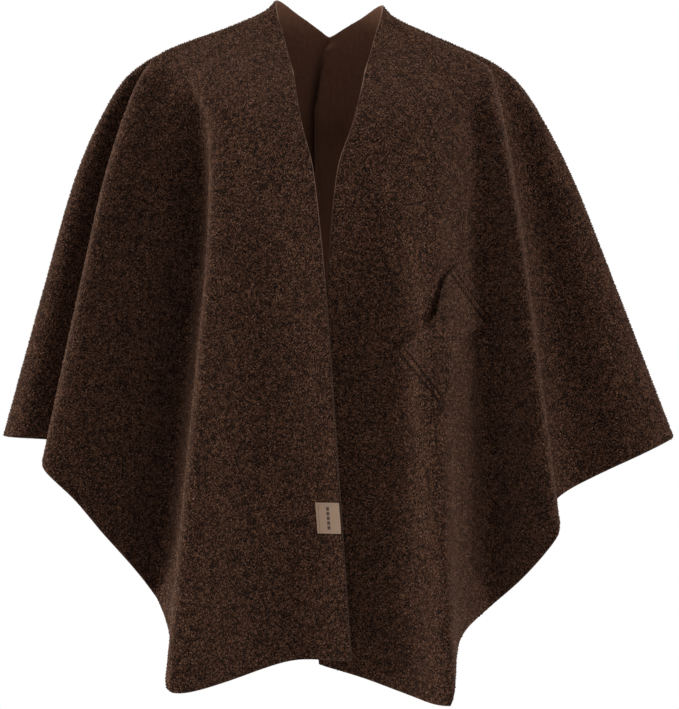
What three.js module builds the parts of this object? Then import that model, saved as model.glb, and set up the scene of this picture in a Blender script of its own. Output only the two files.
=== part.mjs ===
// A wrap cape, worn like a cardigan: two long cloth panels joined down the centre back and
// open down the front, with the wearer's right front lying over the left one.
// Millimetres, +Z up, +X to the wearer's left, and the front faces -Y.
// The origin is the middle of the neck opening, at the height of the shoulders.

import * as THREE from "three";

// Cloth and sewing
const CLOTH_THICKNESS = 3.2;
const SEAM_GAP = 0.3;

// Each side's shoulder, where the cloth leaves a general figure, seen from above as half an oval.
// Front and back drop are how far the chest and the nape lie below the shoulder's end.
const RIGHT_SIDE = { name: "right", sign: -1, halfWidth: 196, sideDrop: 10, frontEdgeAngle: 9 };
const LEFT_SIDE = { name: "left", sign: 1, halfWidth: 188, sideDrop: 19, frontEdgeAngle: 8 };
const CHEST_DEPTH = 118;
const BACK_DEPTH = 112;
const CHEST_DROP = 109;
const BACK_DROP = 68;

// The slit edge round the neck, from the collarbone over the side of the neck to the nape
const SLIT_COLUMNS = ["place", "x", "y", "rightZ", "leftZ"];
const SLIT_EDGE = [
  ["collarbone", 42, -70, -38, -38],
  ["neck front", 53, -33, 3, 3],
  ["neck side", 62.5, 5, 52, 46],
  ["neck back", 37, 40, 39, 34],
  ["nape", 0, 62, 14.6, 14.6],
];
const NECK_SIDE_ANGLE = 90;
const NAPE_ANGLE = 180;

// Off the side of the neck the cloth falls steeply at first: where that ends, and how far it falls
const NECK_STAND_SHARE = 0.12;
const NECK_STAND_DROP = 9;

// How the cloth bows out between the shoulders and the hem:
// the share of the way down, and the shares of the sideways and the fore-and-aft bow it has there
const BOW_PROFILE = [
  { down: 0.06, sideways: 0.72, outward: 0.36 },
  { down: 0.14, sideways: 0.93, outward: 0.68 },
  { down: 0.3, sideways: 1, outward: 1 },
  { down: 0.6, sideways: 0.6, outward: 0.7 },
];

// Mesh rows between one knot of a fold line and the next, and the widest column at the hem
const ROWS_PER_STAGE = [2, 2, 2, 2, 3, 5, 7];
const COLUMN_WIDTH = 28;

// Each row is one fold line. It leaves the shoulders at an angle round the body, 0 at the front and
// 180 at the back, and hangs to its place on the hem. Bow is how far it is pushed out on the way,
// and tuck how far the fold is already drawn in at the shoulders.
const FOLD_COLUMNS = ["name", "angle", "hemX", "hemY", "hemZ", "bowX", "bowY", "tuck"];
const RIGHT_FOLDS = [
  ["front edge", 9, 26, -170, -719, 10, -20, 0],
  ["front", 22, -44, -147, -719, 8, -12, 0],
  ["front beside ridge", 38, -101, -166, -737, 14, -16, 0],
  ["inner ridge", 51, -179, -200, -753, 25, -32, 0],
  ["inner valley wall", 57, -181, -116, -702, 30, -2, 2],
  ["inner valley", 63, -201, -58, -656, 28, 20, 5],
  ["side slope", 68, -232, -82, -612, 12, 4, 4],
  ["outer slope", 73, -262, -102, -577, 0, -8, 3],
  ["small ridge", 77, -296, -116, -534, -10, -20, 1],
  ["outer ridge", 81, -330, -124, -502, -20, -34, -3],
  ["outer valley", 87, -319, 0, -472, -26, 18, 3],
  ["arm front", 89, -363, -24, -468, -42, -2, 0],
  ["arm", 93, -389, 2, -466, -44, 0, 0],
  ["arm back", 98, -366, 38, -464, -41, 6, 0],
  ["back outer valley", 104, -300, 54, -488, -30, 12, 3],
  ["back outer ridge", 112, -300, 126, -526, -24, 22, 0],
  ["back side slope", 122, -236, 118, -588, -12, 18, 0],
  ["back inner valley", 132, -180, 100, -645, -4, 16, 3],
  ["back inner ridge", 143, -148, 184, -696, 0, 22, 0],
  ["back", 156, -86, 162, -690, 0, 16, 0],
  ["back fold", 169, -28, 188, -684, 0, 14, 0],
];
const CENTRE_BACK_FOLD = ["centre back", 180, 2, 166, -680, 0, 10, 0];
const LEFT_FOLDS = [
  ["front edge", 8, -12, -150, -724, -17, -8, 0],
  ["front", 18, 49, -136, -744, -8, -4, 0],
  ["front beside ridge", 28, 100, -158, -761, -4, -12, 0],
  ["inner ridge", 38, 138, -198, -767, -6, -27, 0],
  ["inner valley wall", 47, 147, -138, -700, 7, -16, 1],
  ["inner valley", 58, 188, -70, -664, 6, -12, 4],
  ["side slope", 67, 220, -94, -634, 4, -14, 2],
  ["outer ridge", 75, 264, -128, -577, 8, -28, 0],
  ["outer ridge back", 79, 265, -34, -541, 14, 10, 2],
  ["outer valley", 84, 304, -8, -519, 26, 7, 4],
  ["arm front", 88, 362, -22, -491, 30, -2, 0],
  ["arm", 92, 413, 4, -467, 32, 0, 0],
  ["arm back", 97, 388, 46, -474, 30, 6, 0],
  ["back outer valley", 105, 320, 62, -504, 26, 12, 3],
  ["back outer ridge", 114, 288, 130, -528, 22, 20, 0],
  ["back side slope", 124, 224, 120, -592, 12, 18, 0],
  ["back inner valley", 135, 168, 106, -650, 4, 14, 3],
  ["back inner ridge", 147, 128, 180, -702, 0, 20, 0],
  ["back", 163, 62, 154, -692, 0, 14, 0],
];

// The tuck band, a strip sewn down at both ends on the wearer's left chest, for a front to be
// passed under. Its place is given in the front view.
const BAND_CENTRE = { x: 134, z: -346 };
const BAND_TILT = 55.5; // degrees above the horizontal
const BAND_COLUMNS = ["along", "across"];
const BAND_EDGE = [
  [-52, 34],
  [-28, 26],
  [-7, 17],
  [17, 25],
  [40, 36],
  [58, 39],
  [74, 36],
];
const BAND_THICKNESS = 2.4;
const BAND_SEWN_GAP = 2.1; // over the cloth's pile where it is sewn down
const BAND_STAND_OFF = 3;
const BAND_STEPS = { along: 26, across: 20 };
const BAND_FOLD_SPAN = 7; // it lies within this many folds of the left front edge

// The woven label, a tab along the right front edge
const LABEL = { width: 28, height: 36, thickness: 0.8, z: -556, edgeInset: 0.6, seatGap: 0.4 };
const LABEL_STEPS = { down: 4, across: 4 };
const LABEL_FOLD_SPAN = 2; // it lies within this many folds of the right front edge

const asRow = (columns, values) => Object.fromEntries(values.map((v, i) => [columns[i], v]));
const radians = THREE.MathUtils.degToRad;
const smoothCurve = (points) => new THREE.CatmullRomCurve3(points, false, "centripetal");

/** The slit edge of one side at an angle round the body. */
function slitEdgePoint(side, angle) {
  const knots = SLIT_EDGE.map((values) => {
    const knot = asRow(SLIT_COLUMNS, values);
    return new THREE.Vector3(side.sign * knot.x, knot.y, knot[`${side.name}Z`]);
  });
  const inFront = (angle - side.frontEdgeAngle) / (NECK_SIDE_ANGLE - side.frontEdgeAngle);
  const behind = (angle - NECK_SIDE_ANGLE) / (NAPE_ANGLE - NECK_SIDE_ANGLE);
  const share = angle < NECK_SIDE_ANGLE ? inFront / 2 : (1 + behind) / 2;
  return smoothCurve(knots).getPoint(share);
}

/** Where a fold line leaves the shoulders. */
function shoulderPoint(side, angle, tuck) {
  const across = Math.sin(radians(angle));
  const along = Math.cos(radians(angle));
  const depth = along > 0 ? CHEST_DEPTH : BACK_DEPTH;
  const drop = along > 0 ? CHEST_DROP : BACK_DROP;
  const drawnIn = 1 - tuck / side.halfWidth;
  return new THREE.Vector3(
    side.sign * side.halfWidth * across * drawnIn,
    -depth * along * drawnIn,
    -side.sideDrop - (drop - side.sideDrop) * along * along - tuck,
  );
}

/** One fold line, from the slit edge over the shoulder to the hem. */
function foldLine(side, values) {
  const fold = asRow(FOLD_COLUMNS, values);
  const start = slitEdgePoint(side, fold.angle);
  const shoulder = shoulderPoint(side, fold.angle, fold.tuck);
  const hem = new THREE.Vector3(fold.hemX, fold.hemY, fold.hemZ);
  const stand = start.clone().lerp(shoulder, NECK_STAND_SHARE);
  const offTheFront = THREE.MathUtils.smoothstep(fold.angle, side.frontEdgeAngle, NECK_SIDE_ANGLE);
  stand.z -= NECK_STAND_DROP * offTheFront;
  const hanging = BOW_PROFILE.map(({ down, sideways, outward }) => {
    const point = shoulder.clone().lerp(hem, down);
    point.x += fold.bowX * sideways;
    point.y += fold.bowY * outward;
    return point;
  });
  return smoothCurve([start, stand, shoulder, ...hanging, hem]);
}

// All the fold lines, from the right front edge round the back to the left front edge
const foldLines = [
  ...RIGHT_FOLDS.map((values) => foldLine(RIGHT_SIDE, values)),
  foldLine(RIGHT_SIDE, CENTRE_BACK_FOLD),
  ...LEFT_FOLDS.map((values) => foldLine(LEFT_SIDE, values)).reverse(),
];
const lastPlace = foldLines.length - 1;

/** The curve across the cloth at a share of the way down. */
function curveAcross(down) {
  return smoothCurve(foldLines.map((line) => line.getPoint(down)));
}

/** Shares of the way down at which the mesh has its rows. */
function rowShares() {
  const stages = ROWS_PER_STAGE.length;
  const shares = ROWS_PER_STAGE.flatMap((rows, stage) =>
    Array.from({ length: rows }, (_, i) => (stage + i / rows) / stages),
  );
  return [...shares, 1];
}

/** Places across the cloth at which the mesh has its columns, counted in fold lines. */
function columnPlaces() {
  const places = [];
  for (let k = 0; k < lastPlace; k += 1) {
    const width = foldLines[k].getPoint(1).distanceTo(foldLines[k + 1].getPoint(1));
    const columns = Math.max(2, Math.round(width / COLUMN_WIDTH));
    for (let i = 0; i < columns; i += 1) places.push(k + i / columns);
  }
  return [...places, lastPlace];
}

/** The normals of a grid of points, from the cells round each point. */
function gridNormals(rows) {
  const normals = rows.map((row) => row.map(() => new THREE.Vector3()));
  for (let i = 0; i + 1 < rows.length; i += 1) {
    for (let j = 0; j + 1 < rows[i].length; j += 1) {
      const rising = rows[i][j + 1].clone().sub(rows[i + 1][j]);
      const falling = rows[i + 1][j + 1].clone().sub(rows[i][j]);
      const cell = rising.cross(falling);
      [normals[i][j], normals[i][j + 1], normals[i + 1][j], normals[i + 1][j + 1]].forEach((n) =>
        n.add(cell),
      );
    }
  }
  normals.flat().forEach((n) => n.normalize());
  return normals;
}

/** A closed wall on a grid of points, from one distance along the normals to another. */
function wallGeometry(rows, normals, inside, outside) {
  const rowCount = rows.length;
  const columnCount = rows[0].length;
  const pushedTo = (distance) =>
    rows.flatMap((row, i) =>
      row.map((p, j) => p.clone().addScaledVector(normals[i][j], distance(i, j))),
    );
  const positions = [...pushedTo(outside), ...pushedTo(inside)].flatMap((p) => [p.x, p.y, p.z]);
  const outer = (i, j) => i * columnCount + j;
  const inner = (i, j) => rowCount * columnCount + outer(i, j);
  const index = [];
  const quad = (a, b, c, d) => index.push(a, b, c, a, c, d);
  const bottom = rowCount - 1;
  const right = columnCount - 1;
  for (let i = 0; i < bottom; i += 1) {
    for (let j = 0; j < right; j += 1) {
      quad(outer(i, j), outer(i, j + 1), outer(i + 1, j + 1), outer(i + 1, j));
      quad(inner(i, j), inner(i + 1, j), inner(i + 1, j + 1), inner(i, j + 1));
    }
    quad(outer(i, 0), outer(i + 1, 0), inner(i + 1, 0), inner(i, 0));
    quad(outer(i, right), inner(i, right), inner(i + 1, right), outer(i + 1, right));
  }
  for (let j = 0; j < right; j += 1) {
    quad(outer(0, j), inner(0, j), inner(0, j + 1), outer(0, j + 1));
    quad(outer(bottom, j), outer(bottom, j + 1), inner(bottom, j + 1), inner(bottom, j));
  }
  const geometry = new THREE.BufferGeometry();
  geometry.setAttribute("position", new THREE.Float32BufferAttribute(positions, 3));
  geometry.setIndex(index);
  geometry.computeVertexNormals();
  return geometry;
}

function namedMesh(name, geometry, material) {
  const mesh = new THREE.Mesh(geometry, material);
  mesh.name = name;
  return mesh;
}

const boucleCloth = () =>
  new THREE.MeshStandardMaterial({ color: 0x3b2a20, roughness: 0.95, metalness: 0 });
const wovenTape = () =>
  new THREE.MeshStandardMaterial({ color: 0xb0957f, roughness: 0.8, metalness: 0 });

const places = columnPlaces();
const clothRows = rowShares().map((down) => {
  const across = curveAcross(down);
  return places.map((place) => across.getPoint(place / lastPlace));
});
const clothNormals = gridNormals(clothRows);
const seamColumn = places.indexOf(RIGHT_FOLDS.length);

/** One panel: the cloth between two columns, drawn back at the centre seam by half its gap. */
function panel(name, firstColumn, lastColumn) {
  const inward = seamColumn === lastColumn ? -1 : 1;
  const rows = clothRows.map((row) =>
    row.slice(firstColumn, lastColumn + 1).map((point, j) => {
      if (firstColumn + j !== seamColumn) return point;
      const away = row[seamColumn + inward].clone().sub(point).normalize();
      return point.clone().addScaledVector(away, SEAM_GAP / 2);
    }),
  );
  const normals = clothNormals.map((row) => row.slice(firstColumn, lastColumn + 1));
  const half = CLOTH_THICKNESS / 2;
  const geometry = wallGeometry(rows, normals, () => -half, () => half);
  return namedMesh(name, geometry, boucleCloth());
}

/** A corner of the mesh on the outer face of the cloth, with its normal. */
function outerCorner(i, j) {
  const normal = clothNormals[i][j];
  return { point: clothRows[i][j].clone().addScaledVector(normal, CLOTH_THICKNESS / 2), normal };
}

/** The outer face of the cloth straight behind a point of the front view, with its normal. */
function clothBehind(firstColumn, lastColumn, x, z) {
  const flat = (p) => new THREE.Vector3(p.x, 0, p.z);
  const target = new THREE.Vector3(x, 0, z);
  for (let i = 0; i + 1 < clothRows.length; i += 1) {
    for (let j = firstColumn; j < lastColumn; j += 1) {
      const [a, b] = [outerCorner(i, j), outerCorner(i, j + 1)];
      const [c, d] = [outerCorner(i + 1, j + 1), outerCorner(i + 1, j)];
      for (const facet of [[a, b, c], [a, c, d]]) {
        const triangle = new THREE.Triangle(...facet.map((spot) => flat(spot.point)));
        if (!triangle.containsPoint(target)) continue;
        const weights = triangle.getBarycoord(target, new THREE.Vector3()).toArray();
        const blend = (key) =>
          facet.reduce((sum, s, k) => sum.addScaledVector(s[key], weights[k]), new THREE.Vector3());
        return { point: blend("point"), normal: blend("normal").normalize() };
      }
    }
  }
  throw new Error(`no cloth behind x ${x}, z ${z}`);
}

/** A piece that lies on the outer face of the cloth, from a grid of places in the front view. */
function laidOn(name, firstColumn, lastColumn, grid, standOff, thickness, material) {
  const spots = grid.map((row) => row.map(([x, z]) => clothBehind(firstColumn, lastColumn, x, z)));
  const rows = spots.map((row) => row.map((spot) => spot.point));
  const normals = spots.map((row) => row.map((spot) => spot.normal));
  const top = (i) => standOff(i) + thickness;
  return namedMesh(name, wallGeometry(rows, normals, standOff, top), material);
}

/** The tuck band: an hourglass strip whose long edges are the same line, turned half round. */
function tuckBand() {
  const edge = smoothCurve(
    BAND_EDGE.map((values) => {
      const knot = asRow(BAND_COLUMNS, values);
      return new THREE.Vector3(knot.along, knot.across, 0);
    }),
  );
  const centre = new THREE.Vector3(BAND_CENTRE.x, BAND_CENTRE.z, 0);
  const steps = BAND_STEPS.along;
  const grid = Array.from({ length: steps + 1 }, (_, i) => {
    const upper = edge.getPoint(1 - i / steps);
    const lower = edge.getPoint(i / steps).negate();
    return Array.from({ length: BAND_STEPS.across + 1 }, (_, j) => {
      const spot = lower.clone().lerp(upper, j / BAND_STEPS.across);
      spot.applyAxisAngle(new THREE.Vector3(0, 0, 1), radians(BAND_TILT)).add(centre);
      return [spot.x, spot.y];
    });
  });
  const standOff = (i) => BAND_SEWN_GAP + BAND_STAND_OFF * Math.sin((Math.PI * i) / steps) ** 2;
  const front = places.findIndex((place) => place >= lastPlace - BAND_FOLD_SPAN);
  const last = places.length - 1;
  return laidOn("tuck_band", front, last, grid, standOff, BAND_THICKNESS, boucleCloth());
}

/** The label: a thin tab on the outer face of the right front, along its edge. */
function label() {
  const edge = clothRows.map((_, i) => outerCorner(i, 0).point);
  const edgeX = (z) => {
    const next = edge.findIndex((point) => point.z < z);
    const [above, below] = [edge[next - 1], edge[next]];
    return THREE.MathUtils.mapLinear(z, above.z, below.z, above.x, below.x);
  };
  const grid = Array.from({ length: LABEL_STEPS.down + 1 }, (_, i) => {
    const z = LABEL.z + LABEL.height * (0.5 - i / LABEL_STEPS.down);
    return Array.from({ length: LABEL_STEPS.across + 1 }, (_, j) => {
      const fromEdge = LABEL.edgeInset + (LABEL.width * j) / LABEL_STEPS.across;
      return [edgeX(z) - fromEdge, z];
    });
  });
  const front = places.findIndex((place) => place >= LABEL_FOLD_SPAN);
  const standOff = () => LABEL.seatGap;
  return laidOn("label", 0, front, grid, standOff, LABEL.thickness, wovenTape());
}

const garment = new THREE.Group();
garment.add(panel("right_panel", 0, seamColumn));
garment.add(panel("left_panel", seamColumn, places.length - 1));
garment.add(tuckBand());
garment.add(label());

export default garment;
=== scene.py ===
# %% [markdown]
# This lesson dresses a wrap cardigan: two big halves of a bonded cloth, curly on the outside and smooth on
# the inside, that meet in a seam down the middle of the back and fall open at the front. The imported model
# brings the solids in metres, with the shoulders at the origin. Here each of them gets its finished cloth.

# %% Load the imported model
import math

import bmesh
import bpy
import numpy as np
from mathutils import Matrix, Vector
from mathutils.bvhtree import BVHTree


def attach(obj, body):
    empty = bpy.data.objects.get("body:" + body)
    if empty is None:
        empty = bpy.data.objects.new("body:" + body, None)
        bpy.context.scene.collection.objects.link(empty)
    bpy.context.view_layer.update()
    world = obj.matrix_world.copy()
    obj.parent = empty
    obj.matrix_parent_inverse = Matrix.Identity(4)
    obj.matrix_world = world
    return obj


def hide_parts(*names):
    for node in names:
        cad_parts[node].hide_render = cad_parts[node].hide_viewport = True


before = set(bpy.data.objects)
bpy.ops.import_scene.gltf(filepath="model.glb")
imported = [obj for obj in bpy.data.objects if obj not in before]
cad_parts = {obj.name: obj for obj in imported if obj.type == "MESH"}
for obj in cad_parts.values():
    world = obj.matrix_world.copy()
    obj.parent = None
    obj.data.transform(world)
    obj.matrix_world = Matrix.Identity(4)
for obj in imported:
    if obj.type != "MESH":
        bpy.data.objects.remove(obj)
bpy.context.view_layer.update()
MM = 0.001
scene = bpy.context.scene

# %% [markdown]
# The cardigan is seen straight from the front, from far away, so its upright lines stay upright. A long
# lens at four metres gives that. The camera looks along the Y axis at the height of the waist.

# %% The camera
CAMERA_PLACE = (12.2 * MM, -4.0, -369 * MM)
CAMERA_LENS = 178.25
SENSOR_WIDTH = 36

camera_data = bpy.data.cameras.new("front_camera")
camera_data.sensor_fit = "HORIZONTAL"
camera_data.sensor_width = SENSOR_WIDTH
camera_data.lens = CAMERA_LENS
camera = bpy.data.objects.new("front_camera", camera_data)
camera.location = CAMERA_PLACE
camera.rotation_euler = (math.radians(90), 0, 0)
scene.collection.objects.link(camera)
scene.camera = camera
print("camera at", CAMERA_PLACE, "with a lens of", CAMERA_LENS, "mm")

# %% [markdown]
# Light and finishes are built from nodes, small boxes that are joined at their sockets. Colours are written
# in hex, as on a screen, and turned to the linear numbers that light is mixed with. One function adds any
# node, so that a finish reads as a list of its parts.

# %% Colours and nodes
def linear(colour):
    """Turns an sRGB hex colour into the linear numbers that Blender mixes light with."""
    parts = [int(colour[i:i + 2], 16) / 255 for i in (1, 3, 5)]
    return tuple(p / 12.92 if p <= 0.04045 else ((p + 0.055) / 1.055) ** 2.4 for p in parts) + (1.0,)


def add_node(tree, kind, inputs=None, stops=None, **settings):
    """Adds a node. Its inputs are values or earlier sockets, and a colour ramp has a colour at each stop."""
    node = tree.nodes.new(kind)
    for name, value in settings.items():
        setattr(node, name, value)
    for name, value in (inputs or {}).items():
        if isinstance(value, bpy.types.NodeSocket):
            tree.links.new(value, node.inputs[name])
        else:
            node.inputs[name].default_value = value
    if stops:
        points = node.color_ramp.elements
        points.remove(points[1])
        for number, (stop, colour) in enumerate(stops.items()):
            point = points[0] if number == 0 else points.new(stop)
            point.position = stop
            point.color = linear(colour)
    return node


WHITE = linear("#ffffff")
print("white in linear numbers:", WHITE)

# %% [markdown]
# Brown wool drinks light, so the studio is plain: two wide soft lamps stand at the sides, only a little in
# front, the left one stronger, and a weak one hangs overhead. Their light grazes the folds, so that each
# has a bright crest and a dark valley. A white room round them fills in the rest, and two more lamps light
# the back.

# %% Room and lamps
ROOM_GLOW = 0.4
LAMP_WIDTH = 1.3
LAMPS_AIM = (0, 0, -0.35)
# Name, place in metres and power in watts
LAMPS = [
    ("left_lamp", (-3.77, -1.0, 0.5), 96),
    ("right_lamp", (3.77, -1.0, 0.5), 54),
    ("top_lamp", (0.0, -0.3, 2.4), 24),
    ("back_left_lamp", (-2.8, 2.8, 0.8), 40),
    ("back_right_lamp", (2.8, 2.8, 0.8), 28),
]

world = bpy.data.worlds.new("white_room")
world.use_nodes = True
room = world.node_tree
room.nodes.clear()
seen = add_node(room, "ShaderNodeBackground", {"Color": WHITE, "Strength": 1.0})
glow = add_node(room, "ShaderNodeBackground", {"Color": WHITE, "Strength": ROOM_GLOW})
ray = add_node(room, "ShaderNodeLightPath")
both = add_node(room, "ShaderNodeMixShader", {
    0: ray.outputs["Is Camera Ray"], 1: glow.outputs[0], 2: seen.outputs[0]})
add_node(room, "ShaderNodeOutputWorld", {"Surface": both.outputs[0]})
scene.world = world
scene.view_settings.view_transform = "Standard"

for name, place, power in LAMPS:
    lamp_data = bpy.data.lights.new(name, "AREA")
    lamp_data.shape = "DISK"
    lamp_data.size = LAMP_WIDTH
    lamp_data.energy = power
    lamp = bpy.data.objects.new(name, lamp_data)
    lamp.location = place
    aim = Vector(LAMPS_AIM) - Vector(place)
    lamp.rotation_euler = aim.to_track_quat("-Z", "Y").to_euler()
    scene.collection.objects.link(lamp)
print(len(LAMPS), "lamps aimed at", LAMPS_AIM)

# %% [markdown]
# The floor is a sheet of pale paper. It lies well below the hem, out of the camera's view, and sends a
# little light back up. Its finish starts as every finish here does, from an empty material, and ends in one
# shader.

# %% The floor
FLOOR_HEIGHT = -1.45
FLOOR_REACH = 4.5
PAPER_GRAINS = 900.0  # to a metre
PAPER_RELIEF = 0.2 * MM


def new_material(name):
    """Makes an empty material and returns it with its node tree."""
    material = bpy.data.materials.new(name)
    material.use_nodes = True
    material.node_tree.nodes.clear()
    return material, material.node_tree


def finish_material(tree, looks):
    """Ends a material in one shader with these looks."""
    shader = add_node(tree, "ShaderNodeBsdfPrincipled", looks)
    add_node(tree, "ShaderNodeOutputMaterial", {"Surface": shader.outputs[0]})


def new_object(name, mesh):
    """Puts a mesh into the scene."""
    thing = bpy.data.objects.new(name, mesh)
    scene.collection.objects.link(thing)
    return thing


def built(name, shell, *finishes):
    """Puts a bmesh into the scene as an object with its finishes."""
    mesh = bpy.data.meshes.new(name)
    shell.to_mesh(mesh)
    shell.free()
    for finish in finishes:
        mesh.materials.append(finish)
    return new_object(name, mesh)


paper, tree = new_material("pale_paper_floor")
paper_grain = add_node(tree, "ShaderNodeTexNoise", {"Scale": PAPER_GRAINS, "Detail": 2.0})
paper_bump = add_node(tree, "ShaderNodeBump", {
    "Height": paper_grain.outputs[0], "Strength": 0.05, "Distance": PAPER_RELIEF})
finish_material(tree, {
    "Base Color": linear("#f2f1ee"), "Roughness": 0.85, "Normal": paper_bump.outputs[0]})

sheet = bmesh.new()
bmesh.ops.create_grid(sheet, x_segments=1, y_segments=1, size=FLOOR_REACH)
bmesh.ops.translate(sheet, verts=sheet.verts, vec=(0, 0, FLOOR_HEIGHT))
floor = built("floor", sheet, paper)
print("floor at", FLOOR_HEIGHT, "with", paper.name)

# %% [markdown]
# The outside is boucle, a knit whose yarn is full of loops. Its curls lie every way, about 3.5 mm long and
# 2 mm wide, and thin gaps wind between them and round small clumps of them. A bump alone would leave
# the outline smooth, so the curls are real pieces here, one seeded scatter over the outside. The gaps are
# painted dark over curls and ground alike, a painted shade, and in the ground they are also dips of the bump.
# The wool is quite matt, and its sheen gives a warm paler rim where the cloth turns edge-on.

# %% Boucle for the outside: the ground and the curls
LOOP_SIZE = 3.2 * MM
CLUMP_SIZE = 11 * MM
LOOP_BREAK = 2.2 * MM
MOTTLE_SIZE = 34 * MM
MOTTLE_RANGE = (0.88, 1.12)
GROUND_RELIEF = 1.0 * MM
FIBRE_SIZE = 0.5 * MM
FIBRE_RELIEF = 0.2 * MM
WOOL_SHEEN = {"Sheen Weight": 0.32, "Sheen Roughness": 0.45, "Sheen Tint": linear("#b08570")}


def mottle(tree, place):
    """Slow changes of tone over the cloth, as a factor."""
    patches = add_node(tree, "ShaderNodeTexNoise", {
        "Vector": place, "Scale": 1 / MOTTLE_SIZE, "Detail": 3.0})
    least, most = MOTTLE_RANGE
    factor = add_node(tree, "ShaderNodeMapRange", {
        "Value": patches.outputs[0], "From Min": 0.3, "From Max": 0.7, "To Min": least, "To Max": most})
    return factor.outputs[0]


def gaps(tree, place, size, width, least, most):
    """Thin winding gaps between loops, as a factor: a slow noise crosses its middle value there. A colour
    scaled by it is darkened there as painted shade.
    """
    wander = add_node(tree, "ShaderNodeTexNoise", {
        "Vector": place, "Scale": 1 / size, "Detail": 1.0, "Roughness": 0.4, "Distortion": 0.5})
    off_middle = add_node(tree, "ShaderNodeMath", {0: wander.outputs[0], 1: 0.5}, operation="SUBTRACT")
    distance = add_node(tree, "ShaderNodeMath", {0: off_middle.outputs[0]}, operation="ABSOLUTE")
    factor = add_node(tree, "ShaderNodeMapRange", {
        "Value": distance.outputs[0], "From Min": 0.0, "From Max": width, "To Min": least, "To Max": most},
        interpolation_type="SMOOTHSTEP")
    return factor.outputs[0]


def product(tree, *factors):
    """Multiplies factors with each other."""
    whole = factors[0]
    for factor in factors[1:]:
        whole = add_node(tree, "ShaderNodeMath", {0: whole, 1: factor}, operation="MULTIPLY").outputs[0]
    return whole


def boucle_ground():
    """The flat loops between the curls, with the gaps as pits: dips in the bump, and painted shade in the
    colour.
    """
    material, tree = new_material("boucle_ground")
    place = add_node(tree, "ShaderNodeTexCoord").outputs["Object"]
    breaks = add_node(tree, "ShaderNodeTexNoise", {"Vector": place, "Scale": 1 / LOOP_BREAK, "Detail": 2.0})
    loops = gaps(tree, place, LOOP_SIZE, width=0.12, least=0.0, most=1.0)
    clumps = gaps(tree, place, CLUMP_SIZE, width=0.05, least=0.4, most=1.0)
    height = product(tree, loops, clumps, breaks.outputs[0])
    shade = add_node(tree, "ShaderNodeMapRange", {"Value": height, "From Min": 0.05, "From Max": 0.6})
    # The tone runs to near black in the gaps and round the clumps: painted shade.
    tone = add_node(
        tree, "ShaderNodeValToRGB", {"Fac": shade.outputs[0]},
        stops={0.0: "#0e0502", 0.5: "#3a2216", 1.0: "#5f402f"})
    colour = add_node(tree, "ShaderNodeVectorMath", {
        0: tone.outputs[0], "Scale": mottle(tree, place)}, operation="SCALE")
    relief = add_node(tree, "ShaderNodeBump", {"Height": height, "Strength": 1.0, "Distance": GROUND_RELIEF})
    finish_material(tree, {
        "Base Color": colour.outputs[0], "Roughness": 0.95, "Specular IOR Level": 0.15,
        "Normal": relief.outputs[0], **WOOL_SHEEN})
    return material


def boucle_curl():
    """One curl of yarn: each has its own tone, with painted shade where it leaves the ground and a lighter
    tip.
    """
    material, tree = new_material("boucle_curl")
    place = add_node(tree, "ShaderNodeTexCoord").outputs["Object"]
    own_tone = add_node(tree, "ShaderNodeAttribute", attribute_name="curl_tone")
    rise = add_node(tree, "ShaderNodeAttribute", attribute_name="curl_rise")
    tone = add_node(
        tree, "ShaderNodeValToRGB", {"Fac": own_tone.outputs["Fac"]},
        stops={0.0: "#432a1c", 0.5: "#5f4131", 1.0: "#886857"})
    # Painted shade: darker at the root where the curl leaves the ground, lighter towards the tip.
    root_shade = add_node(tree, "ShaderNodeMapRange", {
        "Value": rise.outputs["Fac"], "From Min": 0.0, "From Max": 1.0, "To Min": 0.4, "To Max": 1.25})
    # The gaps also darken the curls: painted shade.
    loops = gaps(tree, place, LOOP_SIZE, width=0.1, least=0.35, most=1.05)
    clumps = gaps(tree, place, CLUMP_SIZE, width=0.05, least=0.5, most=1.0)
    factor = product(tree, root_shade.outputs[0], mottle(tree, place), loops, clumps)
    colour = add_node(
        tree, "ShaderNodeVectorMath", {0: tone.outputs[0], "Scale": factor}, operation="SCALE")
    fibres = add_node(tree, "ShaderNodeTexNoise", {"Vector": place, "Scale": 1 / FIBRE_SIZE, "Detail": 1.0})
    relief = add_node(tree, "ShaderNodeBump", {
        "Height": fibres.outputs[0], "Strength": 0.5, "Distance": FIBRE_RELIEF})
    finish_material(tree, {
        "Base Color": colour.outputs[0], "Roughness": 0.95, "Specular IOR Level": 0.15,
        "Normal": relief.outputs[0], **WOOL_SHEEN})
    return material


GROUND = boucle_ground()
CURL = boucle_curl()
print("outside finishes:", GROUND.name, CURL.name)

# %% [markdown]
# The inside is the bonded backing, a smooth fine knit whose wales run up the cloth, drawn a little coarser
# than real so that they show. It is as brown as the outside and a little redder. The raw edge is cut, not
# hemmed, so a felted line of both layers shows. It is pale round the neck and darker further down.

# %% Smooth reverse and cut edge
WALE_SPACING = 1.4 * MM
WALE_RELIEF = 0.15 * MM
STREAK_WIDTH = 3.5 * MM
STREAK_STRETCH = 0.06
EDGE_FIBRE = 1.5 * MM
EDGE_RELIEF = 0.4 * MM
PALE_EDGE_ENDS, PALE_EDGE_STARTS = -300 * MM, -180 * MM


def wave_scale(spacing):
    """The wave texture's scale for bands this far apart: it turns by 20 radians to each unit of scale."""
    return math.tau / (20 * spacing)


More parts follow.
